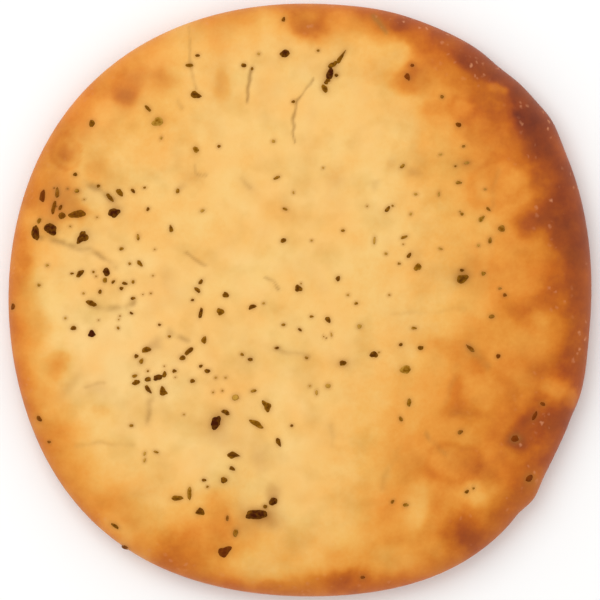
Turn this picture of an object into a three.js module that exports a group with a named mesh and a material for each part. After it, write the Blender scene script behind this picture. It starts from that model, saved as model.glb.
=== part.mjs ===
// A round pan focaccia with a smooth toasted crust and crumbled dried herb leaves on top.
// Millimetres, +Z up. The origin is at the middle of the base, which lies flat on z = 0.
import * as THREE from 'three';
import { mergeVertices } from 'three/addons/utils/BufferGeometryUtils.js';

// Loaf sizes.
const loafWidth = 177; // along X
const loafLength = 180; // along Y
const crownHeight = 17; // from the base to the top of the dome
const domeDrop = 2.5; // how much lower the top is at the rim than in the middle
const waistHeight = 6.5; // height of the widest line of the side
const shoulderWidth = 17; // how far in from the rim the side finishes rolling into the top
const shoulderPower = 2.3; // 2 rolls over as an ellipse, more is squarer
const baseInset = 5; // how far in from the rim the flat base stops

// Leaf sizes that all the leaves share.
const leafThickness = 0.5;
const crustClearance = 0.3; // gap between a leaf and the crust it lies on
const leafTopShare = 0.8; // size of a leaf's upper face against its lower one
const leafRaggedness = 0.08; // how deep a leaf's broken edge is cut, as a share of its size

// How finely the surfaces are stepped.
const roundSteps = 90;
const baseRings = 4;
const cornerSteps = 4;
const shoulderSteps = 9;
const domeRings = 9;
const leafCorners = 9;

// The rim is a circle with soft corners, where the dough met the pan, small bumps and dents.
// Bearings and spreads are in degrees, anticlockwise from +X. Rises are in hundredths of the radius.
const rimSwells = [
  { bearing: 44, rise: 6, spread: 30 },
  { bearing: 135, rise: 3.2, spread: 32 },
  { bearing: 228, rise: 4.4, spread: 30 },
  { bearing: 306, rise: 6.2, spread: 26 },
  { bearing: 49, rise: -0.8, spread: 4 },
  { bearing: 35, rise: 0.9, spread: 4 },
  { bearing: 73, rise: 0.5, spread: 8 },
  { bearing: 342, rise: 1.3, spread: 8 },
  { bearing: 337, rise: -0.3, spread: 2.5 },
  { bearing: 320, rise: 1.1, spread: 3 },
  { bearing: 316, rise: -0.3, spread: 2 },
];

// Low swells of the top, where the crumb rose more or less. Places and spreads are in millimetres
// on a loaf of layoutWidth by layoutLength, and the places move with the loaf's size.
const layoutWidth = 177;
const layoutLength = 180;
const crustSwells = [
  { place: [-30, 30], rise: 0.5, spread: 22 },
  { place: [35, 25], rise: 0.4, spread: 20 },
  { place: [5, -45], rise: 0.5, spread: 24 },
  { place: [-45, -30], rise: -0.4, spread: 14 },
  { place: [55, -35], rise: -0.4, spread: 15 },
  { place: [0, 55], rise: -0.3, spread: 14 },
];

// Leaves lie in clusters. A cluster's centre moves with the loaf's size and its leaves keep their
// own spacing. Each leaf is [right, up, length, width, turn]: its offset from the centre, its size
// in millimetres and its turn in degrees.
const leafClusters = {
  north_sprig: {
    centre: [10, 69],
    leaves: [[-1, -0.5, 4, 2.4, 75], [2.5, 4.5, 5.4, 1.2, 57], [-2.5, -5, 2.6, 2, -60]],
  },
  north: { centre: [-5, 75], leaves: [[0.5, -0.5, 3.4, 2.4, 20]] },
  north_left: { centre: [-32, 66], leaves: [[0.5, -4, 3.8, 2.2, -15], [-1.5, 5, 2.6, 1.3, 0]] },
  north_right: { centre: [32, 67], leaves: [[0.5, 0.5, 2.6, 1.5, -65]] },
  upper_left: { centre: [-44, 56], leaves: [[1, -2, 4, 2.8, 10], [-2, 2, 2.6, 1.2, -45]] },
  upper_middle: { centre: [-32, 45], leaves: [[0.5, 0.5, 2.2, 1.8, -50]] },
  west_rim: {
    centre: [-75, 25],
    leaves: [
      [-3, 6.5, 4.4, 1.8, 80],
      [0.5, 3, 4.2, 1.5, 75],
      [-5, -4.5, 5, 2.6, 95],
      [-0.5, -3.5, 4.4, 3.8, -20],
      [7.5, 1, 5.5, 2.6, 5],
      [9, -6, 4.6, 3, 50],
    ],
  },
  west_fork: {
    centre: [-56, 29],
    leaves: [[0, -2.5, 4.4, 2.8, 15], [-1.5, 2, 3.4, 1.4, -50], [1.5, 3.5, 3, 1.8, -50]],
  },
  left_upper: { centre: [-62, 8], leaves: [[3.5, 0.5, 3, 2.2, 110], [-4.5, 0, 3, 1.8, 45]] },
  left_middle: { centre: [-63, -1], leaves: [[0, 0, 3.4, 2, -25]] },
  left_lower: { centre: [-63, -10], leaves: [[0, 0, 2.6, 2.2, 90]] },
  left_inner: { centre: [-44, 18], leaves: [[-4.5, -7, 2.6, 1.3, -45], [5, 3.5, 2.4, 1.3, 100]] },
  middle_left: {
    centre: [-26, -2],
    leaves: [
      [2, -1.5, 2.6, 2.2, -15],
      [3.5, 3.5, 2.3, 1.8, -20],
      [-4, -2, 3.3, 1.3, 77],
      [-3, -10, 2.4, 1.7, 88],
    ],
  },
  middle: { centre: [-1, 3], leaves: [[0.5, 0.5, 2.6, 2.2, -15], [-13.5, -5, 2.5, 1.5, 20]] },
  middle_right: { centre: [18, -18], leaves: [[4.5, 1.5, 2.7, 2.1, -10], [-5, -1, 2.6, 1.6, 0]] },
  east: { centre: [49, 7], leaves: [[0, -0.5, 3.9, 2.8, 20]] },
  east_inner: { centre: [35, 10], leaves: [[0.5, 0, 2.7, 2.1, 55]] },
  east_upper: { centre: [58, 22], leaves: [[-3, 2.5, 2.8, 1.3, 45], [3, -0.5, 2.4, 2.1, -20]] },
  east_lower: { centre: [52, -14], leaves: [[-0.5, -0.5, 3.3, 1.3, -43]] },
  lower_right: { centre: [32, -21], leaves: [[0, 0, 3.8, 2.6, 10]] },
  south_east: { centre: [68, -38], leaves: [[-3, -4, 2.6, 2.1, 0], [3, 3, 3.2, 1.2, 65]] },
  south_west_upper: {
    centre: [-40, -15],
    leaves: [[6.5, -0.5, 3.5, 1.5, 43], [-6.5, 0, 2.9, 2.1, 15]],
  },
  south_west: {
    centre: [-45, -26],
    leaves: [
      [2, 2.5, 3, 1.9, 5],
      [-4.5, 1, 2.9, 1.6, 15],
      [-1, -1, 3.4, 1.3, -55],
      [3.5, -1.5, 3.3, 2.2, 95],
    ],
  },
  south_dark: { centre: [-25, -36], leaves: [[-0.5, -1, 4.8, 3, 60], [2.5, 2, 2.8, 1.6, -22]] },
  south_middle: {
    centre: [-10, -36],
    leaves: [[0, 4, 3.6, 2.6, -65], [-3, -1.5, 5.2, 1.8, -33], [3.5, -7, 3, 1.5, -70]],
  },
  south_wedge: { centre: [-21, -47], leaves: [[1, 0, 4.1, 1.9, -8]] },
  south_left: {
    centre: [-34, -61],
    leaves: [[-3, 1, 3.9, 1.7, 5], [0.5, 2.5, 4.2, 1.5, 88], [3.5, -3, 2.9, 2.4, 20]],
  },
  south: { centre: [-12, -64], leaves: [[-1, -1, 6.8, 3.2, 3], [4, 3, 3, 2.6, 40]] },
  south_rim: { centre: [-23, -76], leaves: [[0, 0, 4.5, 3.3, 25]] },
};

const crustFinish = { color: '#e8ad5c', roughness: 0.5, metalness: 0 };
const leafFinish = { color: '#4a2f10', roughness: 0.8, metalness: 0 };

// A soft bump: 1 at no distance, fading to 0 over about two spreads.
function fade(distance, spread) {
  return Math.exp(-((distance / spread) ** 2));
}

// The rim's radius before fitting: 1, plus every swell or dent near this bearing (in radians).
function looseRim(bearing) {
  const degrees = THREE.MathUtils.radToDeg(bearing);
  let radius = 1;
  for (const swell of rimSwells) {
    const apart = THREE.MathUtils.euclideanModulo(degrees - swell.bearing + 180, 360) - 180;
    radius += (swell.rise / 100) * fade(apart, swell.spread);
  }
  return radius;
}

// The loose rim is stretched and centred, so that the loaf measures loafWidth by loafLength.
const rimSamples = Array.from({ length: 10 * roundSteps }, (_, step) => {
  const bearing = (step * 2 * Math.PI) / (10 * roundSteps);
  return new THREE.Vector2(Math.cos(bearing), Math.sin(bearing)).multiplyScalar(looseRim(bearing));
});
const looseBox = new THREE.Box2().setFromPoints(rimSamples);
const looseMiddle = looseBox.getCenter(new THREE.Vector2());
const rimStretch = new THREE.Vector2(loafWidth, loafLength).divide(looseBox.getSize(new THREE.Vector2()));
const meanRadius = (loafWidth + loafLength) / 4;

// Where a point lies between the middle (0) and the rim (1).
function rimShare(x, y) {
  const loose = new THREE.Vector2(x, y).divide(rimStretch).add(looseMiddle);
  return loose.length() / looseRim(loose.angle());
}

// The top's height with no rolled edge: a shallow dome and its swells.
function domeHeight(x, y) {
  let height = crownHeight - domeDrop * rimShare(x, y) ** 2;
  for (const swell of crustSwells) {
    const place = onLoaf(swell.place);
    height += swell.rise * fade(Math.hypot(x - place.x, y - place.y), swell.spread);
  }
  return height;
}

// The crust's height: it rises from the waist and rolls over into the dome across the shoulder.
function crustHeight(x, y) {
  const inset = (1 - rimShare(x, y)) * meanRadius;
  const across = THREE.MathUtils.clamp(inset / shoulderWidth, 0, 1);
  const roll = (1 - (1 - across) ** shoulderPower) ** (1 / shoulderPower);
  return waistHeight + (domeHeight(x, y) - waistHeight) * roll;
}

// A layout place, moved with the loaf's size.
function onLoaf([x, y]) {
  return new THREE.Vector2((x * loafWidth) / layoutWidth, (y * loafLength) / layoutLength);
}

// The side view of a round loaf, from the middle of the base out, up the side and over the top.
function loafProfile() {
  const points = [];
  for (let ring = 0; ring <= baseRings; ring += 1) {
    points.push(new THREE.Vector2(((meanRadius - baseInset) * ring) / baseRings, 0));
  }
  for (let step = 1; step <= cornerSteps; step += 1) {
    const angle = (step * Math.PI) / 2 / cornerSteps;
    const out = meanRadius - baseInset * (1 - Math.sin(angle));
    points.push(new THREE.Vector2(out, waistHeight * (1 - Math.cos(angle))));
  }
  for (let step = 1; step <= shoulderSteps; step += 1) {
    const inset = shoulderWidth * (1 - Math.cos((step * Math.PI) / 2 / shoulderSteps));
    points.push(new THREE.Vector2(meanRadius - inset, crownHeight));
  }
  for (let ring = 1; ring <= domeRings; ring += 1) {
    points.push(new THREE.Vector2((meanRadius - shoulderWidth) * (1 - ring / domeRings), crownHeight));
  }
  return points;
}

// One closed body with shared vertices, which the moves below then bend without opening it.
function closeUp(geometry) {
  geometry.deleteAttribute('normal');
  geometry.deleteAttribute('uv');
  return mergeVertices(geometry, 1e-4);
}

// The loaf: the round profile, stretched to the rim, with everything above the waist on the crust.
function loafGeometry() {
  const geometry = closeUp(new THREE.LatheGeometry(loafProfile(), roundSteps).rotateX(Math.PI / 2));
  const positions = geometry.attributes.position;
  for (let i = 0; i < positions.count; i += 1) {
    const round = new THREE.Vector2(positions.getX(i), positions.getY(i));
    const share = round.length() / meanRadius;
    const place = round.normalize().multiplyScalar(share * looseRim(round.angle()));
    place.sub(looseMiddle).multiply(rimStretch);
    const onTop = positions.getZ(i) > waistHeight;
    positions.setXYZ(i, place.x, place.y, onTop ? crustHeight(place.x, place.y) : positions.getZ(i));
  }
  geometry.computeVertexNormals();
  return geometry;
}

// A broken leaf: a thin chip with an uneven edge that lies along the crust.
function leafGeometry(x, y, length, width, turn, number) {
  const chip = new THREE.CylinderGeometry(leafTopShare, 1, leafThickness, leafCorners);
  const geometry = closeUp(chip.rotateX(Math.PI / 2));
  const positions = geometry.attributes.position;
  const middle = new THREE.Vector2(0, 0);
  for (let i = 0; i < positions.count; i += 1) {
    const corner = new THREE.Vector2(positions.getX(i), positions.getY(i));
    const ragged = 1 - leafRaggedness * (1 + Math.sin(3 * corner.angle() + 2 * number));
    corner.multiplyScalar(ragged).multiply(new THREE.Vector2(length / 2, width / 2));
    corner.rotateAround(middle, THREE.MathUtils.degToRad(turn)).add(new THREE.Vector2(x, y));
    const above = crustClearance + leafThickness / 2 + positions.getZ(i);
    positions.setXYZ(i, corner.x, corner.y, crustHeight(corner.x, corner.y) + above);
  }
  geometry.computeVertexNormals();
  return geometry;
}

const focaccia = new THREE.Group();

const loaf = new THREE.Mesh(loafGeometry(), new THREE.MeshStandardMaterial(crustFinish));
loaf.name = 'loaf';
focaccia.add(loaf);

for (const [clusterName, cluster] of Object.entries(leafClusters)) {
  const centre = onLoaf(cluster.centre);
  cluster.leaves.forEach(([right, up, length, width, turn], index) => {
    const number = focaccia.children.length;
    const geometry = leafGeometry(centre.x + right, centre.y + up, length, width, turn, number);
    const leaf = new THREE.Mesh(geometry, new THREE.MeshStandardMaterial(leafFinish));
    leaf.name = `leaf_${clusterName}_${index + 1}`;
    focaccia.add(leaf);
  });
}

export default focaccia;
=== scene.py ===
# A round pan focaccia: one toasted loaf, the broken dried leaves that lie on it, and finer herb crumbs.
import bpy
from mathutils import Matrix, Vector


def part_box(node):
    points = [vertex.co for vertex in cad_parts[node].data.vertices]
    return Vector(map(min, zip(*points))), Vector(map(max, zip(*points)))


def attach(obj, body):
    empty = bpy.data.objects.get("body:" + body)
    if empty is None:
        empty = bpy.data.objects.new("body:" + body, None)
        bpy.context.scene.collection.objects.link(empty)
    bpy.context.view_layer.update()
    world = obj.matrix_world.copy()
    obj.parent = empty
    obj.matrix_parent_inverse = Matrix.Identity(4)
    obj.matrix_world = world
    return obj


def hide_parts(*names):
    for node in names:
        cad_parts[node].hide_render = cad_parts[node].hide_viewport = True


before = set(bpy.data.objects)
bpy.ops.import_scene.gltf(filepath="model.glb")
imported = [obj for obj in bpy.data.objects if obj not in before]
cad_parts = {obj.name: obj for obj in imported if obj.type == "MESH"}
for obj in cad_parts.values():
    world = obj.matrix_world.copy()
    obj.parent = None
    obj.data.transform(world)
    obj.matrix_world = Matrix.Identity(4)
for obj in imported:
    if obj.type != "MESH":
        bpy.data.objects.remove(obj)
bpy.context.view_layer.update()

import bpy
import numpy as np

# Shapes are worked out in millimetres and put into the meshes in metres.
mm = 0.001


# adds a shader node, with its settings, a ramp's stops as position and colour, and its values and links
def addNode(tree, kind, inputs=None, stops=None, **settings):
    made = tree.nodes.new("ShaderNode" + kind)
    for name, value in settings.items():
        setattr(made, name, value)
    for socket, value in (inputs or {}).items():
        if isinstance(value, bpy.types.NodeSocket):
            tree.links.new(value, made.inputs[socket])
        else:
            made.inputs[socket].default_value = value
    if stops:
        while len(made.color_ramp.elements) < len(stops):
            made.color_ramp.elements.new(0.5)
        for element, (position, hexText) in zip(made.color_ramp.elements, stops):
            element.position = position
            element.color = colour(hexText)
    return made


# sRGB hex to the linear numbers that shaders work in
def colour(hexText):
    parts = np.array([int(hexText[i:i + 2], 16) for i in (1, 3, 5)]) / 255
    linear = np.where(parts <= 0.04045, parts / 12.92, ((parts + 0.055) / 1.055) ** 2.4)
    return (*linear.tolist(), 1.0)


# a mesh object from points in mm, faces and one number per point for each named attribute
def makeMesh(name, points, faces, values, material):
    mesh = bpy.data.meshes.new(name)
    mesh.from_pydata((points * mm).tolist(), [], faces)
    for valueName, value in values.items():
        mesh.attributes.new(valueName, "FLOAT", "POINT").data.foreach_set("value", value.astype(np.float32))
    mesh.polygons.foreach_set("use_smooth", np.ones(len(mesh.polygons), bool))
    mesh.update()
    piece = bpy.data.objects.new(name, mesh)
    bpy.context.scene.collection.objects.link(piece)
    mesh.materials.append(material)
    return piece


# a soft bump: 1 at no distance, falling away as a bell curve
def fade(distance, spread):
    return np.exp(-(distance / spread) ** 2)


# distance from an ellipse's middle, where 1 is its edge
def ovalDistance(x, y, place, long, wide, turn):
    angle = np.radians(turn)
    along = (x - place[0]) * np.cos(angle) + (y - place[1]) * np.sin(angle)
    across = (y - place[1]) * np.cos(angle) - (x - place[0]) * np.sin(angle)
    return np.hypot(along / long, across / wide)


# Smooth random cloud from -1 to 1: numbers on a square lattice, blended between its corners, with each
# finer octave half as large, half as strong and turned, so that the lattice doesn't show.
def cloud(x, y, size, seed, octaves=3):
    total = np.zeros_like(x)
    weights = 0.0
    for octave in range(octaves):
        lattice = np.random.default_rng(seed + 17 * octave).uniform(-1, 1, (64, 64))
        angle = 0.6 + 1.1 * octave
        u = (x * np.cos(angle) - y * np.sin(angle)) / size * 2 ** octave
        v = (x * np.sin(angle) + y * np.cos(angle)) / size * 2 ** octave
        cellU, cellV = np.floor(u).astype(int), np.floor(v).astype(int)
        blendU, blendV = u - cellU, v - cellV
        blendU = blendU ** 2 * (3 - 2 * blendU)
        blendV = blendV ** 2 * (3 - 2 * blendV)
        low = lattice[cellU % 64, cellV % 64] * (1 - blendU) + lattice[(cellU + 1) % 64, cellV % 64] * blendU
        high = (lattice[cellU % 64, (cellV + 1) % 64] * (1 - blendU)
                + lattice[(cellU + 1) % 64, (cellV + 1) % 64] * blendU)
        total += (low * (1 - blendV) + high * blendV) * 0.5 ** octave
        weights += 0.5 ** octave
    return total / weights * 1.6


loafLow, loafHigh = (np.array(corner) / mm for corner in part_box("loaf"))
loaf = {
    "width": loafHigh[0] - loafLow[0],
    "length": loafHigh[1] - loafLow[1],
    "crownHeight": 17.0,
    "domeDrop": 2.5,
    "waistHeight": 6.5,
    "shoulderWidth": 17.0,
    "shoulderPower": 2.3,
    "baseInset": 5.0,
    # the seam between the side's last ring and the underside's mesh
    "seamWidth": 1.2,
    # bearing, rise in hundredths of the radius, spread in degrees
    "rimSwells": [(44, 6, 30), (135, 3.2, 32), (228, 4.4, 30), (306, 6.2, 26), (49, -0.8, 4), (35, 0.9, 4),
                  (73, 0.5, 8), (342, 1.3, 8), (337, -0.3, 2.5), (320, 1.1, 3), (316, -0.3, 2)],
    # place, rise and spread in mm
    "crustSwells": [((-30, 30), 0.5, 22), ((35, 25), 0.4, 20), ((5, -45), 0.5, 24),
                    ((-45, -30), -0.4, 14), ((55, -35), -0.4, 15), ((0, 55), -0.3, 14)],
    "topCells": 288,
    "sideRings": 6,
    # the underside's mesh is this many times coarser than the crust's
    "baseCoarser": 4,
    # steam pits of the underside: how deep in mm, and how far across
    "pitDepth": 0.5,
    "pitSize": 7,
    # the two round maps: middle across and up, and radius
    "topMap": (0.375, 0.375, 0.355),
    "lowMap": (0.775, 0.775, 0.2),
}
meanRadius = (loaf["width"] + loaf["length"]) / 4


# the rim before fitting: a circle of radius 1 plus each soft corner, bump and dent near this bearing
def looseRim(bearing):
    radius = np.ones_like(bearing)
    for centre, rise, spread in loaf["rimSwells"]:
        apart = (np.degrees(bearing) - centre + 180) % 360 - 180
        radius += rise / 100 * fade(apart, spread)
    return radius


rimBearings = np.linspace(0, 2 * np.pi, 1440, endpoint=False)
rimPoints = np.stack([np.cos(rimBearings), np.sin(rimBearings)]) * looseRim(rimBearings)
looseLow, looseHigh = rimPoints.min(axis=1), rimPoints.max(axis=1)
looseMiddle = (looseLow + looseHigh) / 2
rimStretch = np.array([loaf["width"], loaf["length"]]) / (looseHigh - looseLow)


# from a bearing and a share of the way to the rim, to a place on the loaf
def placeAt(bearing, share):
    radius = looseRim(bearing) * share
    x = (radius * np.cos(bearing) - looseMiddle[0]) * rimStretch[0]
    y = (radius * np.sin(bearing) - looseMiddle[1]) * rimStretch[1]
    return x, y


# and back: the bearing and the share of the way to the rim of a place
def shareAt(x, y):
    looseX = x / rimStretch[0] + looseMiddle[0]
    looseY = y / rimStretch[1] + looseMiddle[1]
    bearing = np.arctan2(looseY, looseX)
    return bearing, np.hypot(looseX, looseY) / looseRim(bearing)


# The crust rises from the waist and rolls over as a rounded square corner, 1 - (1 - t)^p, across the
# shoulder, into a shallow dome with a few low swells.
def crustHeight(x, y):
    share = shareAt(x, y)[1]
    dome = loaf["crownHeight"] - loaf["domeDrop"] * share ** 2
    for place, rise, spread in loaf["crustSwells"]:
        dome = dome + rise * fade(np.hypot(x - place[0], y - place[1]), spread)
    across = np.clip((1 - share) * meanRadius / loaf["shoulderWidth"], 0, 1)
    power = loaf["shoulderPower"]
    roll = (1 - (1 - across) ** power) ** (1 / power)
    return loaf["waistHeight"] + (dome - loaf["waistHeight"]) * roll


crust = {
    "unevenness": 0.16,
    "ripple": 0.05,
    # points of each crease, its half width and its depth in mm, and how dark the painted shadow along it is
    "creases": [
        ([(-33.5, 83), (-33.5, 74), (-33, 68), (-31.5, 64)], 0.45, 0.16, 0.4),
        ([(-14.5, 70), (-15, 66), (-15.5, 63.5), (-16, 60)], 0.5, 0.28, 0.72),
        ([(4.5, 66.5), (1, 62), (-1, 59.5), (-2.5, 54.5)], 0.36, 0.26, 0.66),
        ([(-2.5, 54.5), (-1.5, 51.5), (-1.5, 48)], 0.36, 0.22, 0.6),
        ([(-32.5, 41), (-31.5, 38.5), (-28, 38)], 0.5, 0.12, 0.42),
        ([(-18, 37), (-15, 34)], 0.6, 0.12, 0.25),
        ([(-65, 36), (-61, 33), (-57.5, 31)], 0.8, 0.22, 0.6),
        ([(-78, 19), (-71, 17.5), (-67, 15.5), (-62, 14), (-56, 10.5)], 1.0, 0.3, 0.6),
        ([(-63, -1.5), (-58, -2.5), (-54, -2.5), (-50, -0.5)], 1.0, 0.25, 0.62),
        ([(-10.5, 6.5), (-8.5, 5), (-7, 3.5)], 0.5, 0.15, 0.6),
        ([(-34, 14.5), (-31.5, 12), (-29, 10.5)], 0.6, 0.12, 0.48),
        ([(-45, -30.5), (-45.5, -37.5)], 1.1, 0.2, 0.55),
        ([(-39.5, -9), (-37, -10.5), (-34, -12)], 1.0, 0.18, 0.5),
        ([(-68, -44), (-60, -43), (-51, -44)], 0.8, 0.15, 0.22),
        ([(-64, -26), (-59, -25)], 0.6, 0.12, 0.28),
        ([(9, -38), (10, -44)], 0.9, 0.12, 0.2),
        ([(29, -46), (27, -50), (25, -57)], 1.0, 0.12, 0.2),
        ([(38, -41), (41, -44), (44, -46.5)], 0.6, 0.12, 0.4),
        ([(-7, -14.5), (-2, -16), (3, -17)], 0.8, 0.12, 0.34),
        ([(28, -4), (36, -4), (50, -3)], 0.8, 0.08, 0.15),
        ([(60, 40), (58, 34), (58, 28)], 0.7, 0.08, 0.2),
        ([(-37.5, 59.5), (-36, 58)], 0.8, 0.08, 0.34),
        ([(51, -14.5), (54, -17), (57, -20)], 1.2, -0.2, 0.3),
        ([(48, -20), (45.5, -26), (44, -31)], 1.0, -0.12, 0.18),
        ([(22, 86), (24.5, 83), (26, 81)], 0.9, 0.15, 0.6),
    ],
    # little folds of skin at the rim: place, long, wide, turn, rise
    "folds": [((60, 65), 3, 1.1, -45, 0.5), ((82, -31), 2.0, 4.0, 10, 0.45), ((78, -27), 6, 3.6, -15, 0.35),
              ((-71, 45), 3, 2.6, 0, 0.3), ((67, -40), 7, 5, 30, -0.3), ((52, -58), 8, 6, 0, 0.3)],
}


# how close a place is to a line of points, as a bell curve across it, with a wavering course
def nearLine(x, y, points, halfWidth):
    wavyX = x + 0.7 * cloud(x, y, 5, 301)
    wavyY = y + 0.7 * cloud(x, y, 5, 302)
    nearest = np.full_like(x, 1e9)
    for (startX, startY), (endX, endY) in zip(points, points[1:]):
        alongX, alongY = endX - startX, endY - startY
        part = ((wavyX - startX) * alongX + (wavyY - startY) * alongY) / (alongX ** 2 + alongY ** 2)
        part = np.clip(part, 0, 1)
        offX = wavyX - startX - part * alongX
        offY = wavyY - startY - part * alongY
        nearest = np.minimum(nearest, np.hypot(offX, offY))
    broken = np.clip(0.8 + 0.6 * cloud(x, y, 3.2, 303), 0.3, 1)
    return fade(nearest, halfWidth) * broken


# the crust's fine relief: unevenness and ripples, less each crease, plus each fold
def relief(x, y):
    height = crust["unevenness"] * cloud(x, y, 16, 11) + crust["ripple"] * cloud(x, y, 4, 12)
    for points, halfWidth, depth, dark in crust["creases"]:
        height -= depth * nearLine(x, y, points, halfWidth)
    for place, long, wide, turn, rise in crust["folds"]:
        height += rise * fade(ovalDistance(x, y, place, long, wide, turn), 1)
    return height


# the crust's height with its relief, which settles to nothing over the last 4 mm before the rim
def crustTop(x, y):
    settle = np.clip((1 - shareAt(x, y)[1]) * meanRadius / 4, 0, 1)
    return crustHeight(x, y) + relief(x, y) * settle


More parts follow.
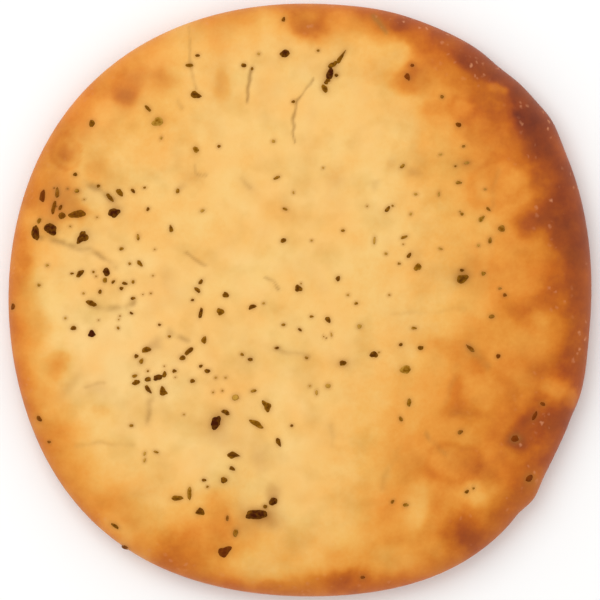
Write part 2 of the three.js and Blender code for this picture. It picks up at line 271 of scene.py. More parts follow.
# Levels run from 0, pale crumb under a thin skin, to 1, the darkest brown.
toast = {
    "level": 0.1,
    # the toasted band round the rim: bearing, level at the rim, and how far in it reaches, in mm
    "rimBand": [
        (0, 0.74, 12), (18, 0.84, 15), (38, 0.92, 18), (52, 0.88, 15), (66, 0.7, 12), (76, 0.56, 9),
        (88, 0.5, 8), (100, 0.4, 8), (115, 0.27, 9), (135, 0.29, 11), (152, 0.4, 10), (175, 0.48, 7.5),
        (195, 0.54, 9.5), (215, 0.43, 11), (235, 0.42, 13), (250, 0.48, 17), (265, 0.54, 11),
        (280, 0.52, 9), (295, 0.5, 11), (310, 0.54, 15), (325, 0.58, 15), (342, 0.69, 13),
    ],
    # broad warm areas: place, level added, spread
    "glows": [
        ((52, -36), 0.32, 26), ((66, 8), 0.22, 20), ((52, 48), 0.12, 18), ((-47, 60), 0.16, 15),
        ((-27, -72), 0.22, 13), ((35, -64), 0.18, 20), ((-45, 28), 0.05, 24), ((38, 25), 0.05, 24),
        ((-55, -14), -0.12, 26), ((0, -48), -0.03, 20), ((10, 35), -0.03, 22), ((28, -40), 0.05, 12),
        ((-72, 48), 0.05, 10), ((-78, 24), 0.03, 8), ((22, -72), 0.08, 10), ((-72, -42), 0.08, 10),
        ((62, -16), 0.08, 10), ((-25, 82), 0.1, 8), ((-36, -50), -0.05, 14), ((39, 61), 0.04, 9),
    ],
    # toasted and pale patches: place, long, wide, turn, the level it reaches
    "patches": [
        ((63.5, 52), 7, 4.6, -60, 0.64), ((72, 50), 9, 5.6, -60, 0.88), ((60, 60), 8, 5, -50, 0.72),
        ((80, 33), 6, 12, 6, 0.86), ((76, 40), 5, 5, 0, 0.8), ((81, 18), 6, 10, 0, 0.84),
        ((70, 23), 4.5, 4.5, 20, 0.7), ((76, 26), 5, 5, 0, 0.84), ((84, 3), 5.5, 13, 0, 0.76),
        ((83, -18), 5, 8, 0, 0.76), ((65, -2), 6, 7, 0, 0.54), ((77, -38), 5, 6.5, -10, 0.8),
        ((71, -37), 7, 5, 20, 0.76), ((73, -31), 4, 3, 40, 0.72), ((50, -72), 6, 5, 0, 0.8),
        ((72, -22), 3, 4, 20, 0.6), ((12, -84.5), 8, 3.8, 0, 0.72), ((43, -81), 7, 4, 30, 0.58),
        ((-5, -86.5), 9, 3.2, 0, 0.6), ((3, 83), 7.4, 4.8, 0, 0.66), ((14, 84), 5, 3, -15, 0.42),
        ((31, 83), 5, 3.2, -20, 0.78), ((34, 79), 6, 3, -15, 0.6), ((45, 77), 9, 4, -28, 0.76),
        ((55, 71), 9, 4.5, -38, 0.84), ((57, 63), 6, 4, -45, 0.62), ((44, 70), 9, 5, -30, 0.54),
        ((33, 67), 5, 4, 0, 0.52), ((41, 58), 4.5, 4, 30, 0.46), ((47, -15), 10, 4, -10, 0.46),
        ((47, -26), 4, 7, 10, 0.49), ((47, -34), 6, 3, 0, 0.52), ((62, -47), 10, 6, 10, 0.51),
        ((69, -57), 6, 4, 60, 0.6), ((-31, -76), 9, 5, -25, 0.48), ((-25, -66), 4, 7, 10, 0.48),
        ((-52, -75), 9, 2.4, -32, 0.42), ((-73, -20), 4.4, 4.6, 0, 0.4), ((-72, 46), 3.4, 4.2, 0, 0.52),
        ((-71.5, 45.5), 2, 2.6, 0, 0.56), ((-53, 64), 6, 5, 0, 0.48), ((-52.5, 61.5), 3, 2.6, 0, 0.56),
        ((-41, 67), 4, 3, -40, 0.4), ((-24, 66), 2.8, 6, 0, 0.26), ((-23.5, 67), 1.8, 4, 0, 0.3),
        ((-25, 81), 4, 4.5, 0, 0.3), ((-73, 31), 6, 7, 0, 0.44), ((-66, 28), 3, 5, 15, 0.42),
        ((-85, 14), 3, 7, 0, 0.52), ((-62, 41), 4, 6, 0, 0.32), ((37, -54), 5, 4, 40, 0.5),
        ((27, -65.5), 5, 3.6, 0, 0.42), ((-60, -34), 5, 3, 0, 0.22), ((58, -11), 8, 6, 0, 0.45),
        ((36, -77), 6, 6, 0, 0.5), ((61, 8), 3.4, 5, 10, 0.42), ((80, 5), 3.4, 7, 0, 0.72),
        ((54, -18), 4, 2.4, -45, 0.5), ((36, 67.5), 7, 4.4, 0, 0.5), ((33.5, 70), 2.4, 2.4, 0, 0.6),
        ((35, -62), 4, 8, -6, 0.24), ((53, -59), 7, 4, 0, 0.26), ((76.5, -27.5), 4.6, 3.2, -20, 0.36),
        ((81.5, -29), 2.4, 2.4, 0, 0.48), ((66, -18), 6, 6, 0, 0.46), ((55, -28), 4.5, 5, 0, 0.36),
        ((62, -27), 4, 5, 0, 0.48), ((-55, -69), 5, 3, -40, 0.22), ((28, 74), 5, 4, 0, 0.22),
        ((21, 73), 7, 6, 10, 0.2), ((72, 9), 7, 6, 0, 0.5), ((65, 34), 6, 7, 0, 0.42),
        ((49, 61), 4, 4, 0, 0.4), ((-12, -81), 13, 5, 0, 0.2), ((2, -73), 9, 7, 0, 0.2),
        ((15, -77), 9, 3.6, 0, 0.34), ((28, -78), 8, 5, 0, 0.32), ((-62.5, 31), 4, 3.4, -40, 0.08),
        ((-33, 80), 5, 6, 0, 0.16), ((55, 26), 2.6, 13, 4, 0.26), ((69, 36), 3, 5, 0, 0.44),
        ((69, 56), 8, 3.6, -50, 1.04), ((75.5, 48), 6, 3, -64, 1.0), ((66, 60), 4, 2.4, -50, 0.9),
        # the pale patch at (60, 64) is a painted highlight on the lip of the fold beside it
        ((60, 64), 2.4, 1.4, -35, 0.54), ((73, 36), 3.5, 6, 0, 0.66), ((77.5, 5), 5.2, 8, 0, 0.66),
        ((74, -1), 8, 2.6, 0, 0.62), ((83.5, 4), 4.6, 11, 0, 0.8), ((66, -42.5), 5, 3.4, 0, 0.76),
        ((71.5, -42.5), 5.5, 3, 0, 0.76),
    ],
    # rings where a bubble's edge browned: place, long, wide, turn, level added, half width as a share
    "rings": [
        ((55, -28), 8.5, 8, 0, 0.06, 0.25), ((50, 58), 4.5, 4, 0, 0.08, 0.3),
        ((61, 36), 9, 7, 20, 0.07, 0.2), ((-71.5, 45), 4.2, 5.4, 0, 0.08, 0.2),
        ((46, -50), 8, 6, 0, 0.06, 0.2),
    ],
    # how sharp a patch's edge is
    "patchEdge": 2.8,
    # how far in the rim's rosy skin and its painted sheen reach, in mm
    "blushAndSheenReach": 3.2,
    # toast levels below the crust, and how much each thing adds to them
    "side": {"plain": 0.25, "fromRim": 0.45, "downwards": 0.2, "mottle": 0.05},
    "under": {"plain": 0.6, "broad": 0.16, "fine": 0.1, "pits": 0.12, "blushAndSheen": 0.06},
    # mottling grows with the level: its share in the palest crust, and what each step of level adds
    "mottle": 0.03,
    "mottleGrowth": 0.09,
    # oil and colour soaked from a leaf into the crust, with a painted shadow round the leaf: how far past
    # its edge in mm, and how strong
    "stainAndShadowReach": 0.4,
    "stainAndShadowStrength": 0.42,
    # brown smudges under the skin, and painted shadow round leaves: place, long, wide, turn, strength
    "smudgesAndShadows": [
        ((-12, -65), 4.4, 2.6, 0, 0.45), ((-8, -59), 2, 3, 0, 0.4), ((-8, -67), 4, 3, 0, 0.34),
        ((-16, -69), 4, 2.4, 0, 0.26), ((-25, -37), 4, 3.4, 55, 0.4), ((-24, -42), 7, 3, -20, 0.18),
        ((-18, -64), 2.4, 5, 0, 0.2), ((-16, 35), 4, 1.8, -45, 0.18), ((49, 8), 3.2, 3.2, 0, 0.5),
        ((42, 8), 4, 2.4, 0, 0.12), ((9.5, 69), 2.2, 4.4, -20, 0.36), ((-40, 7), 2.4, 3.2, 0, 0.18),
        ((13, -19), 4, 2, 0, 0.2), ((-56, 29), 2.6, 4, 30, 0.34), ((-44, -13.5), 1.6, 2.6, -45, 0.34),
        ((-16, -18), 3, 2.6, 0, 0.14), ((-17, -36), 5, 8, 0, 0.08), ((4, 70), 5, 6, 0, 0.08),
        ((-6, -15), 7, 2, -10, 0.14), ((-48, -58), 8, 3, 0, 0.1), ((-62, -27), 4, 2, 10, 0.16),
        ((-70, -26), 2, 5, -35, 0.2), ((28, 41), 2, 2.4, 0, 0.16), ((34, 38.5), 2, 1.4, 0, 0.3),
        ((11, 36), 3, 4, 0, 0.14), ((23, 35), 1.4, 1.2, 0, 0.2), ((-76, 22), 4, 3, 0, 0.24),
        ((-65, 19), 3, 3, 0, 0.22), ((50, 41), 3, 1.6, 0, 0.2), ((47, -34), 3.6, 1.8, 0, 0.24),
        ((-71, 31), 5, 5, 0, 0.42), ((-49.5, 68), 4, 3, -30, 0.2), ((-52.5, 61.5), 3.4, 2.6, 0, 0.24),
        ((-41, 67), 4.4, 3, -40, 0.16), ((-24, 66), 2.6, 5.4, 0, 0.24), ((3, 83), 6, 4, 0, 0.16),
        ((-62, 41), 4, 6, 0, 0.12), ((-71.5, 45), 3, 4, 0, 0.16), ((-25, 82), 8, 4, 0, 0.1),
        ((-32.5, 37), 3, 2.6, 0, 0.14), ((-36, 35), 1.4, 1.2, 0, 0.22), ((25, 25), 4, 4, 0, 0.08),
        ((35, 13), 2, 3, 0, 0.16), ((-12.5, -48), 2.4, 5, 0, 0.18), ((69.5, -55), 2.6, 3.4, 0, 0.3),
        ((65, -42), 2.6, 2.2, 0, 0.4),
    ],
}


# a value that changes smoothly round the loaf between the bearings where it is given
def roundTheRim(bearing, bearings, values):
    return np.interp(np.degrees(bearing) % 360, bearings, values, period=360)


# The level at each place: the rim's band and the glows add up, then each patch pulls the level to its own
# where it covers, then rings and mottling are added. Places are shifted by clouds so that edges wander.
def toastLevel(x, y, bearing, share):
    wavyX = x + 1.4 * cloud(x, y, 9, 51) + 0.6 * cloud(x, y, 2.8, 53, 2)
    wavyY = y + 1.4 * cloud(x, y, 9, 52) + 0.6 * cloud(x, y, 2.8, 54, 2)
    bearings, levels, reaches = zip(*toast["rimBand"])
    inset = (1 - share) * meanRadius + 2.2 * cloud(x, y, 13, 55)
    reach = roundTheRim(bearing, bearings, reaches)
    band = roundTheRim(bearing, bearings, levels) * np.exp(-(np.clip(inset, 0, None) / reach) ** 1.5)
    level = 1 - (1 - toast["level"]) * (1 - band)
    for place, added, spread in toast["glows"]:
        level += added * fade(np.hypot(wavyX - place[0], wavyY - place[1]), spread)
    for place, long, wide, turn, reached in toast["patches"]:
        cover = np.exp(-ovalDistance(wavyX, wavyY, place, long, wide, turn) ** toast["patchEdge"])
        level += (reached - level) * cover * 0.9
    for place, long, wide, turn, added, halfWidth in toast["rings"]:
        level += added * fade(ovalDistance(wavyX, wavyY, place, long, wide, turn) - 1, halfWidth)
    mottle = toast["mottle"] + toast["mottleGrowth"] * np.clip(level - 0.3, 0, 0.6)
    return level + mottle * cloud(x, y, 5.5, 58, 4) + 0.03 * cloud(x, y, 12, 57)


# Brown on the crust: the smudges, some of them painted shadow round leaves, and round each leaf and crumb an
# oil stain with a painted shadow, fading from its edge.
def smudgeAndShadowLevel(x, y):
    wavyX = x + 0.8 * cloud(x, y, 4, 61)
    wavyY = y + 0.8 * cloud(x, y, 4, 62)
    level = np.zeros_like(x)
    for place, long, wide, turn, strength in toast["smudgesAndShadows"]:
        level += strength * fade(ovalDistance(wavyX, wavyY, place, long, wide, turn), 1)
    # each leaf and crumb gets an oil stain with a painted shadow round it
    stainAndShadow = np.zeros_like(x)
    for leafX, leafY, length, width, turn in stainAndShadowPlaces:
        long, wide = length / 2 + toast["stainAndShadowReach"], width / 2 + toast["stainAndShadowReach"]
        distance = ovalDistance(x, y, (leafX, leafY), long, wide, np.degrees(turn))
        stainAndShadow = np.maximum(stainAndShadow, np.exp(-distance ** 3) * toast["stainAndShadowStrength"])
    return np.clip(level + 0.08 * np.clip(cloud(x, y, 7, 63), 0, 1) + stainAndShadow, 0, 0.9)


# how dark the painted shadow of each crease is, along its line
def creaseShadowLevel(x, y):
    level = np.zeros_like(x)
    for points, halfWidth, depth, dark in crust["creases"]:
        level = np.maximum(level, dark * nearLine(x, y, points, halfWidth))
    return level


# Baked wheat crust brushed with oil: a thin satin skin, matt where it is palest, slightly uneven.
# The toast level, with mottling and grain of 5 and 1 mm added, picks the colour.
def bakedCrust():
    material = bpy.data.materials.new("bakedCrust")
    material.use_nodes = True
    tree = material.node_tree
    tree.nodes.clear()
    place = addNode(tree, "TexCoord").outputs["Object"]
    toasted = addNode(tree, "Attribute", attribute_name="toast").outputs["Fac"]
    mottle = addNode(tree, "TexNoise", {"Vector": place, "Scale": 1 / (5.0 * mm), "Detail": 3.0})
    grain = addNode(tree, "TexNoise", {"Vector": place, "Scale": 1 / (1.1 * mm), "Detail": 2.0})
    mottled = addNode(tree, "Math", {0: mottle.outputs["Fac"], 1: 0.12, 2: toasted},
                      operation="MULTIPLY_ADD").outputs[0]
    grained = addNode(tree, "Math", {0: grain.outputs["Fac"], 1: 0.07, 2: mottled},
                      operation="MULTIPLY_ADD").outputs[0]
    # both noises average a half, so half of each one's share comes off again
    level = addNode(tree, "Math", {0: grained, 1: 0.095}, operation="SUBTRACT").outputs[0]
    crumbToBurnt = [(0.0, "#f0c67c"), (0.12, "#edc070"), (0.25, "#e9ae54"), (0.38, "#e29839"),
                    (0.5, "#d4801f"), (0.62, "#c06706"), (0.74, "#a44c05"), (0.86, "#893908"),
                    (1.0, "#6a270c")]
    ramp = addNode(tree, "ValToRGB", {"Fac": level}, stops=crumbToBurnt)
    base = ramp.outputs["Color"]

    # the crumb drifts to peach in places about 16 mm across and to olive in others of 11 mm
    for size, low, high, tint in ((16.0, 0.35, 0.75, "#ffebcf"), (11.0, 0.48, 0.8, "#ece8d6")):
        drift = addNode(tree, "TexNoise", {"Vector": place, "Scale": 1 / (size * mm), "Detail": 3.0})
        share = addNode(tree, "MapRange", {"Value": drift.outputs["Fac"], "From Min": low,
                                           "From Max": high}).outputs[0]
        tinted = addNode(tree, "Mix", {0: 1.0, 6: base, 7: colour(tint)},
                         data_type="RGBA", blend_type="MULTIPLY").outputs[2]
        base = addNode(tree, "Mix", {0: share, 6: base, 7: tinted}, data_type="RGBA").outputs[2]
    # the rosy skin of the side and the rim's edge with a painted sheen, the brown smudges and stains with
    # painted shadow round the leaves, and the painted shadow in the creases
    for name, stain in (("blushAndSheen", "#c4704e"), ("smudgeAndShadow", "#985f1c"), ("creaseShadow", "#9a6c2a")):
        share = addNode(tree, "Attribute", attribute_name=name).outputs["Fac"]
        base = addNode(tree, "Mix", {0: share, 6: base, 7: colour(stain)}, data_type="RGBA").outputs[2]

    # Pale flecks where small blisters dried, up to about 1 mm: Voronoi cells of 2.2 mm, pulled out of round
    # by noise, some chosen by their own random colour and only in drifts of about 9 mm.
    bend = addNode(tree, "TexNoise", {"Vector": place, "Scale": 1 / (1.6 * mm), "Detail": 1.0})
    bent = addNode(tree, "VectorMath", {0: bend.outputs["Color"], 1: (1.6 * mm,) * 3, 2: place},
                   operation="MULTIPLY_ADD").outputs[0]
    cells = addNode(tree, "TexVoronoi",
                    {"Vector": bent, "Scale": 1 / (2.2 * mm), "Randomness": 1.0})
    dots = addNode(tree, "MapRange",
                   {"Value": cells.outputs["Distance"], "From Min": 0.36, "From Max": 0.12}).outputs[0]
    chance = addNode(tree, "SeparateColor", {"Color": cells.outputs["Color"]}).outputs[0]
    chosen = addNode(tree, "Math", {0: chance, 1: 0.5}, operation="GREATER_THAN").outputs[0]
    drifts = addNode(tree, "TexNoise", {"Vector": place, "Scale": 1 / (9.0 * mm), "Detail": 1.0})
    inDrift = addNode(tree, "MapRange",
                      {"Value": drifts.outputs["Fac"], "From Min": 0.44, "From Max": 0.6}).outputs[0]
    blistered = addNode(tree, "Attribute", attribute_name="blister").outputs["Fac"]
    fleck = dots
    for share in (chosen, inDrift, blistered):
        fleck = addNode(tree, "Math", {0: fleck, 1: share}, operation="MULTIPLY").outputs[0]
    fleckShare = addNode(tree, "Math", {0: fleck, 1: 0.55}, operation="MULTIPLY").outputs[0]
    base = addNode(tree, "Mix", {0: fleckShare, 6: base, 7: colour("#dc9468")},
                   data_type="RGBA").outputs[2]

    pores = addNode(tree, "TexNoise", {"Vector": place, "Scale": 1 / (0.9 * mm), "Detail": 2.0})
    height = addNode(tree, "Math", {0: pores.outputs["Fac"], 1: 0.5, 2: fleck},
                     operation="MULTIPLY_ADD").outputs[0]
    bump = addNode(tree, "Bump", {"Height": height, "Strength": 0.35, "Distance": 0.12 * mm})
    sheen = addNode(tree, "TexNoise", {"Vector": place, "Scale": 1 / (9.0 * mm), "Detail": 3.0})
    rough = addNode(tree, "Math", {0: sheen.outputs["Fac"], 1: 0.22, 2: 0.38},
                    operation="MULTIPLY_ADD").outputs[0]
    skin = addNode(tree, "BsdfPrincipled", {
        "Base Color": base, "Roughness": rough, "Normal": bump.outputs["Normal"], "IOR": 1.42,
        "Specular IOR Level": 0.26, "Coat Weight": 0.04, "Coat Roughness": 0.35})
    addNode(tree, "OutputMaterial", {"Surface": skin.outputs[0]})
    return material


# Dried oregano and rosemary leaf, toasted in the oven: dull red-brown, golden where the leaf is thin.
# Its tone, with fibres of 0.9 mm added, picks the colour; leaves on toasted crust are scorched redder.
def driedLeaf():
    material = bpy.data.materials.new("driedLeaf")
    material.use_nodes = True
    tree = material.node_tree
    tree.nodes.clear()
    place = addNode(tree, "TexCoord").outputs["Object"]
    fibre = addNode(tree, "TexNoise", {"Vector": place, "Scale": 1 / (0.9 * mm), "Detail": 3.0})
    tone = addNode(tree, "Attribute", attribute_name="tone").outputs["Fac"]
    fibred = addNode(tree, "Math", {0: fibre.outputs["Fac"], 1: 0.9, 2: tone},
                     operation="MULTIPLY_ADD").outputs[0]
    level = addNode(tree, "Math", {0: fibred, 1: 0.45}, operation="SUBTRACT").outputs[0]
    darkToGolden = [(0.0, "#421602"), (0.3, "#6c3f03"), (0.6, "#925f08"), (1.0, "#c4943a")]
    ramp = addNode(tree, "ValToRGB", {"Fac": level}, stops=darkToGolden)
    scorch = addNode(tree, "Attribute", attribute_name="scorch").outputs["Fac"]
    base = addNode(tree, "Mix", {0: scorch, 6: ramp.outputs["Color"], 7: colour("#7c3406")},
                   data_type="RGBA").outputs[2]
    bump = addNode(tree, "Bump",
                   {"Height": fibre.outputs["Fac"], "Strength": 0.5, "Distance": 0.1 * mm})
    leaf = addNode(tree, "BsdfPrincipled", {
        "Base Color": base, "Roughness": 0.75, "Normal": bump.outputs["Normal"], "IOR": 1.4,
        "Specular IOR Level": 0.06})
    addNode(tree, "OutputMaterial", {"Surface": leaf.outputs[0]})
    return material


crustMaterial = bakedCrust()
leafMaterial = driedLeaf()


# A square grid of rings laid round a disc: each square ring becomes a circle. It gives each point's bearing
# and its reach, from 0 to 1.
def discGrid(cells):
    step = np.linspace(-1, 1, cells + 1)
    a, b = np.meshgrid(step, step, indexing="ij")
    wide = np.abs(a) > np.abs(b)
    safeA = np.where(a == 0, 1e-9, a)
    safeB = np.where(b == 0, 1e-9, b)
    radius = np.where(wide, a, b)
    bearing = np.where(wide, np.pi / 4 * b / safeA, np.pi / 2 - np.pi / 4 * a / safeB)
    bearing = np.where(radius < 0, bearing + np.pi, bearing)
    return bearing.ravel(), np.abs(radius).ravel()


# the grid's four-cornered faces, anticlockwise, and its outer edge in anticlockwise order
def gridFaces(cells):
    index = np.arange((cells + 1) ** 2).reshape(cells + 1, cells + 1)
    faces = np.stack([index[:-1, :-1], index[1:, :-1], index[1:, 1:], index[:-1, 1:]], axis=-1)
    faces = faces.reshape(-1, 4)
    edge = np.concatenate([index[:-1, 0], index[-1, :-1], index[:0:-1, -1], index[0, :0:-1]])
    return faces, edge


# Faces from each ring of points to the next, all the way round.
def ringFaces(rings):
    onward = np.roll(rings, -1, axis=1)
    return np.stack([rings[:-1], rings[1:], onward[1:], onward[:-1]], axis=-1).reshape(-1, 4)


# The crust: a disc whose rings are spaced evenly along it, so that the shoulder has as many as its
# length needs.
def crustSurface(cells):
    shares = 1 - (1 - np.sin(np.linspace(0, np.pi / 2, 4001))) ** 1.6
    alongX, alongY = placeAt(np.full_like(shares, 0.4), shares)
    lengths = np.hypot(np.hypot(np.diff(alongX), np.diff(alongY)), np.diff(crustHeight(alongX, alongY)))
    lengths = np.concatenate([[0], np.cumsum(lengths)])
    bearing, reach = discGrid(cells)
    x, y = placeAt(bearing, np.interp(reach * lengths[-1], lengths, shares))
    return bearing, reach, np.stack([x, y, crustTop(x, y)], axis=1)


# the side below the waist: a quarter ellipse in to the flat base
def sideSurface(bearing):
    angles = np.linspace(0, np.pi / 2, loaf["sideRings"] + 1)[1:, None]
    inset = loaf["baseInset"] * (1 - np.cos(angles))
    x, y = placeAt(bearing + 0 * inset, 1 - inset / meanRadius + 0 * bearing)
    z = loaf["waistHeight"] * (1 - np.sin(angles)) + 0 * bearing
    return np.stack([x, y, z], axis=-1).reshape(-1, 3)


# the underside: a flat disc, with shallow pits where steam lifted it off the pan
def underSurface(cells):
    bearing, reach = discGrid(cells)
    x, y = placeAt(bearing, reach * (1 - (loaf["baseInset"] + loaf["seamWidth"]) / meanRadius))
    pits = np.clip(cloud(x, y, loaf["pitSize"], 71) - 0.25, 0, 1) * loaf["pitDepth"]
    return bearing, reach, np.stack([x, y, pits * np.clip((1 - reach) * 20, 0, 1)], axis=1)


# the seam: the side's last ring has several points for each point of the base's edge, and fans in to it
def seamFaces(lastRing, baseEdge, coarser):
    outer = np.append(lastRing, lastRing[0])
    onward = np.roll(baseEdge, -1)
    half = coarser // 2
    fans = [np.stack([outer[k:-1:coarser], baseEdge if k < half else onward, outer[k + 1::coarser]], axis=1)
            for k in range(coarser)]
    return np.concatenate([*fans, np.stack([outer[half::coarser], baseEdge, onward], axis=1)])


# The attributes that colour the loaf: the side takes part of its toast from the rim above it and browns
# downwards, and the blush, a rosy skin with a painted sheen, is strongest at the rim's edge and where the
# rim is browned most.
def loafColours(points, onTop, onBase):
    x, y, z = points.T
    side, under = toast["side"], toast["under"]
    bearing, share = shareAt(x, y)
    level = toastLevel(x, y, bearing, share)
    drop = np.clip(1 - z / loaf["waistHeight"], 0, 1)
    atRim = np.ones_like(bearing)
    rimLevel = toastLevel(*placeAt(bearing, atRim), bearing, atRim)
    sideLevel = side["plain"] + side["fromRim"] * rimLevel + side["downwards"] * drop
    sideLevel = sideLevel + side["mottle"] * cloud(x + z, y - z, 5, 74)
    underLevel = under["plain"] + under["broad"] * cloud(x, y, 14, 72) + under["fine"] * cloud(x, y, 3, 73)
    underLevel = underLevel - under["pits"] * np.clip(z * 4, 0, 1)
    level = np.where(onTop, level, np.where(onBase, underLevel, sideLevel))
    rimInset = (1 - share) * meanRadius
    bearings, levels, reaches = zip(*toast["rimBand"])
    # a rosy skin with a painted sheen, lightest at the very edge where the rim turns away
    rimBlushAndSheen = 0.16 + 0.3 * np.clip(roundTheRim(bearing, bearings, levels) - 0.4, 0, 0.5)
    edgeFade = np.exp(-(np.clip(rimInset, 0, None) / toast["blushAndSheenReach"]) ** 1.3)
    browned = np.clip((level - 0.5) * 3, 0, 1)
    return {
        "toast": level,
        "blushAndSheen": np.where(onBase, under["blushAndSheen"], rimBlushAndSheen * edgeFade * (1 - 0.4 * drop)),
        "smudgeAndShadow": np.where(onTop, smudgeAndShadowLevel(x, y), 0),
        "creaseShadow": np.where(onTop, creaseShadowLevel(x, y), 0),
        "blister": np.where(onTop, np.clip(browned + 0.4 * fade(rimInset, 6), 0, 1), 0.2),
    }


# places on a round map, from its middle and radius
def mapDisc(disc, bearing, reach):
    across, up, radius = disc
    reach = radius * reach
    return np.stack([across + reach * np.cos(bearing), up + reach * np.sin(bearing)], axis=1)


# The loaf is one closed skin: the crust down to the waist, the side below it, the seam and the underside.
def buildLoaf():
    sideRings, coarser = loaf["sideRings"], loaf["baseCoarser"]
    baseCells = loaf["topCells"] // coarser
    topBearing, topReach, top = crustSurface(loaf["topCells"])
    topFaces, topEdge = gridFaces(loaf["topCells"])
    print("crust surface", len(top), "points")
    side = sideSurface(topBearing[topEdge])
    baseBearing, baseReach, base = underSurface(baseCells)
    baseFaces, baseEdge = gridFaces(baseCells)

    points = np.concatenate([top, side, base])
    sideStart = len(top)
    baseStart = len(top) + len(side)
    rings = np.concatenate([topEdge[None], sideStart + np.arange(len(side)).reshape(sideRings, -1)])
    seam = seamFaces(rings[-1], baseStart + baseEdge, coarser)
    underFaces = baseStart + baseFaces[:, ::-1]
    faces = topFaces.tolist() + ringFaces(rings).tolist() + seam.tolist() + underFaces.tolist()
    order = np.arange(len(points))
    values = loafColours(points, order < sideStart, order >= baseStart)
    piece = makeMesh("focaccia_loaf", points, faces, values, crustMaterial)

    # the map: the crust's disc, and a smaller disc of the side and underside, side by side
    sideReach = 0.86 + 0.14 * (1 - np.arange(1, sideRings + 1) / sideRings)
    lowReach = np.concatenate([np.ones(len(top)), np.repeat(sideReach, len(topEdge)), baseReach * 0.84])
    lowBearing = np.concatenate([topBearing, np.tile(topBearing[topEdge], sideRings), baseBearing])
    topMap = mapDisc(loaf["topMap"], topBearing, topReach)
    lowMap = mapDisc(loaf["lowMap"], np.pi - lowBearing, lowReach)
    corner = np.empty(len(piece.data.loops), np.int32)
    piece.data.loops.foreach_get("vertex_index", corner)
    isTop = np.arange(len(corner)) < 4 * len(topFaces)
    flat = np.where(isTop[:, None], topMap[np.minimum(corner, len(top) - 1)], lowMap[corner])
    piece.data.uv_layers.new(name="OFBake").data.foreach_set("uv", flat.astype(np.float32).ravel())
    return piece


leaves = {
    "corners": 32,
    "topRings": 5,
    "thickness": 0.55,
    "sink": 0.16,
    # a leaf's blurred, curling edge reaches a little past its plain shape
    "spread": 1.1,
    # the golden edge: tone added at the outline, fading to the middle
    "edgeTone": 0.3,
    # shape of the outline: lobes, their depth, taper to one end, and squareness
    "bar": {"lobes": 2, "lobeDepth": 0.04, "taper": 0.0, "square": 3.2},
    "wedge": {"lobes": 1, "lobeDepth": 0.05, "taper": 0.5, "square": 2.0},
    "tail": {"lobes": 1, "lobeDepth": 0.05, "taper": 0.85, "square": 2.0},
    "head": {"lobes": 1, "lobeDepth": 0.05, "taper": -0.65, "square": 2.0},
    "lobed": {"lobes": 3, "lobeDepth": 0.2, "taper": 0.0, "square": 2.0},
    "flake": {"lobes": 3, "lobeDepth": 0.08, "taper": 0.15, "square": 2.2},
    "shapes": {
        "leaf_south_1": "bar", "leaf_south_west_upper_1": "bar", "leaf_middle_left_3": "bar",
        "leaf_south_rim_1": "lobed", "leaf_south_middle_1": "lobed", "leaf_west_rim_6": "lobed",
        "leaf_left_lower_1": "wedge", "leaf_south_wedge_1": "tail", "leaf_south_west_4": "wedge",
        "leaf_south_left_3": "head", "leaf_east_lower_1": "head", "leaf_north_sprig_2": "tail",
        "leaf_north_left_1": "wedge", "leaf_west_fork_1": "wedge",
        "leaf_south_west_1": "bar", "leaf_south_left_2": "bar",
    },
    # tone of the leaves that are darker or paler than the rest
    "tones": {
        "leaf_upper_left_1": 0.72, "leaf_west_rim_2": 0.5, "leaf_west_rim_5": 0.36, "leaf_west_rim_6": 0.16,
        "leaf_west_rim_3": 0.12, "leaf_south_left_2": 0.6, "leaf_south_middle_2": 0.5,
        "leaf_south_left_1": 0.45, "leaf_lower_right_1": 0.66, "leaf_north_sprig_3": 0.48,
        "leaf_south_west_upper_2": 0.5, "leaf_east_lower_1": 0.6, "leaf_east_upper_1": 0.66,
        "leaf_east_upper_2": 0.62, "leaf_upper_middle_1": 0.6, "leaf_left_inner_1": 0.6,
        "leaf_west_fork_2": 0.42, "leaf_west_fork_3": 0.45, "leaf_west_rim_1": 0.2,
        "leaf_left_inner_2": 0.45, "leaf_east_inner_1": 0.5, "leaf_middle_left_1": 0.42,
        "leaf_middle_left_2": 0.42, "leaf_middle_left_4": 0.48, "leaf_north_right_1": 0.5,
        "leaf_upper_left_2": 0.5, "leaf_north_left_2": 0.45, "leaf_left_upper_1": 0.08,
        "leaf_left_lower_1": 0.0, "leaf_south_dark_1": 0.06, "leaf_west_fork_1": 0.04,
        "leaf_west_rim_4": 0.1,
        "leaf_south_1": 0.14, "leaf_south_2": 0.14, "leaf_south_rim_1": 0.06, "leaf_north_sprig_1": 0.1,
        "leaf_north_1": 0.12, "leaf_south_west_1": 0.22, "leaf_middle_1": 0.28, "leaf_middle_right_1": 0.26,
    },
    "plainTone": 0.36,
}


